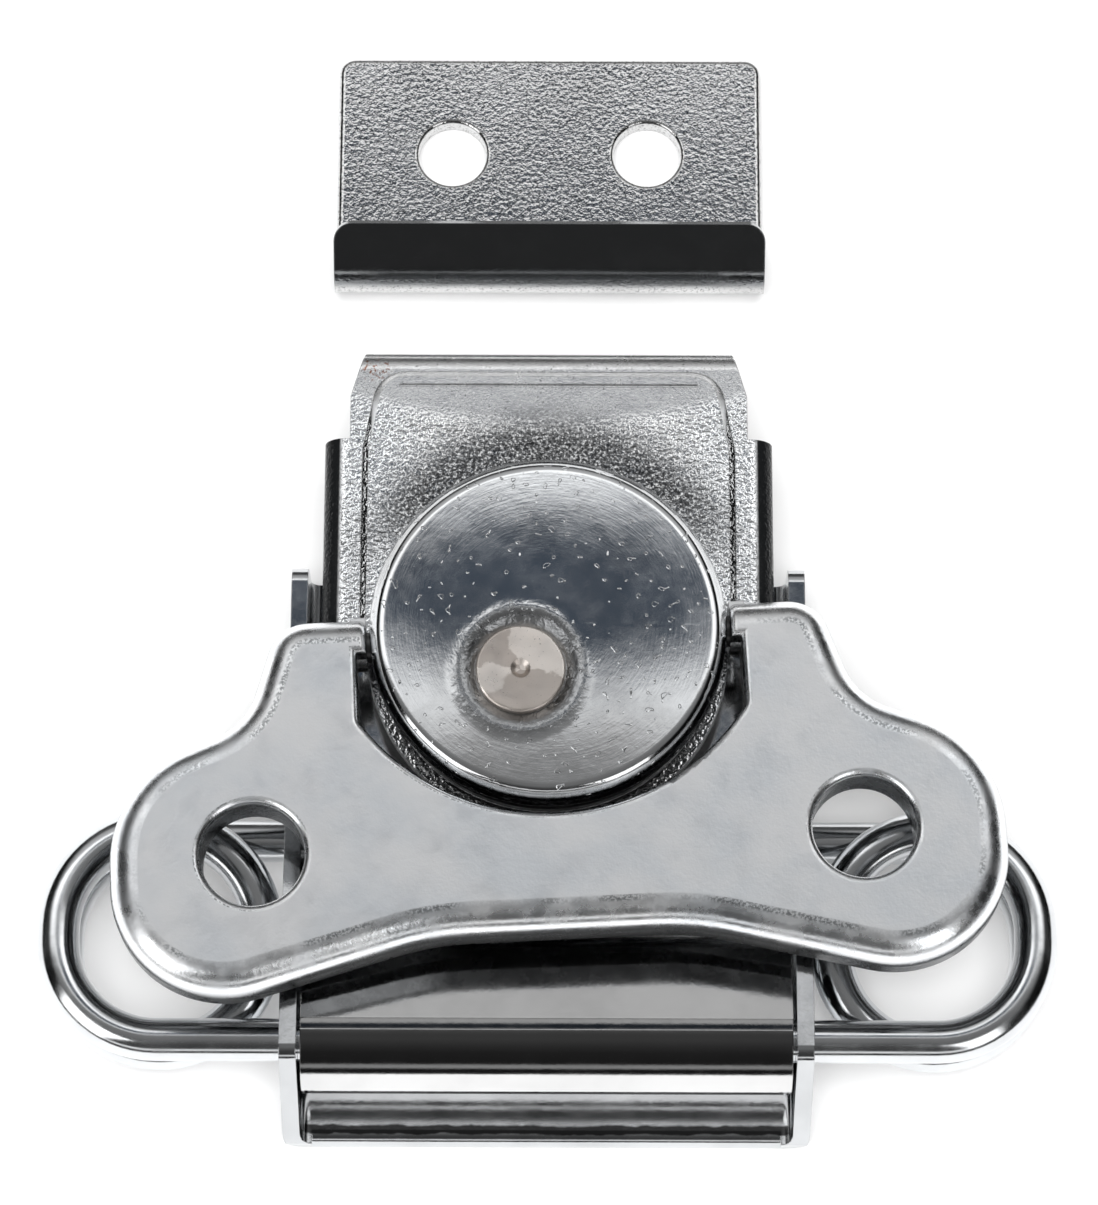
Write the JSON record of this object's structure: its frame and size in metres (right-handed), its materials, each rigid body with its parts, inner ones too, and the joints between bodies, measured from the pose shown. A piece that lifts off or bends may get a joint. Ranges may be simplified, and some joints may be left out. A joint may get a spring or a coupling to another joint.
{
  "type": "rotary draw latch",
  "caption": "Surface-mounted sprung rotary draw latch for a flight case, with folding wing handle, hooked link and keeper plate.",
  "frame": {"origin": "middle of the base channel's four rivet holes, on the case wall (underside of the base)", "axes": "+Z out of the case wall, +Y from the base towards the keeper, +X to the right seen from the front"},
  "size_m": [0.0716, 0.0836, 0.0152],
  "materials": {
    "bright_plate": "bright plated steel sheet",
    "polished_plate": "polished plated steel",
    "satin_plate": "satin plated steel",
    "spring_steel": "plated spring wire",
    "rivet_metal": "bare formed rivet face"
  },
  "bodies": {
    "base": {"base_channel": "bright_plate", "keeper_plate": "bright_plate"},
    "spring": {"spring_wire": "spring_steel"},
    "carriage": {"carriage_plate": "bright_plate", "pivot_rivet": "rivet_metal", "rivet_washer": "bright_plate", "thrust_washer": "bright_plate"},
    "cam": {"cam_hub": "bright_plate", "cap_disc": "polished_plate", "retaining_washer": "bright_plate", "hinge_pin_left": "spring_steel", "hinge_pin_right": "spring_steel"},
    "link": {"draw_link": "bright_plate"},
    "wing": {"wing_handle": "satin_plate"}
  },
  "joints": [
    {"name": "spring_draw", "type": "slide", "parent": "base", "child": "spring", "axis": [0, 1, 0], "range_m": [0, 0.003], "stiffness_N_per_m": 8000, "deforming": ["spring_wire"]},
    {"name": "lift", "type": "hinge", "parent": "spring", "child": "carriage", "pos_m": [0, -0.019, 0.0059], "axis": [1, 0, 0], "range_deg": [0, 75]},
    {"name": "cam_turn", "type": "hinge", "parent": "carriage", "child": "cam", "pos_m": [-0.0019, 0.00531, 0.009], "axis": [0, 0, 1], "range_deg": [-183, 0]},
    {"name": "link_ride", "type": "hinge", "parent": "cam", "child": "link", "pos_m": [0, 0.0086, 0.008], "axis": [0, 0, 1], "range_deg": [0, 183]},
    {"name": "wing_fold", "type": "hinge", "parent": "cam", "child": "wing", "pos_m": [0, 0.0086, 0.0113], "axis": [-0.9987, -0.0516, 0], "range_deg": [0, 95]}
  ],
  "couplings": [
    {"joint": "link_ride", "follows": "cam_turn", "ratio": -1}
  ]
}
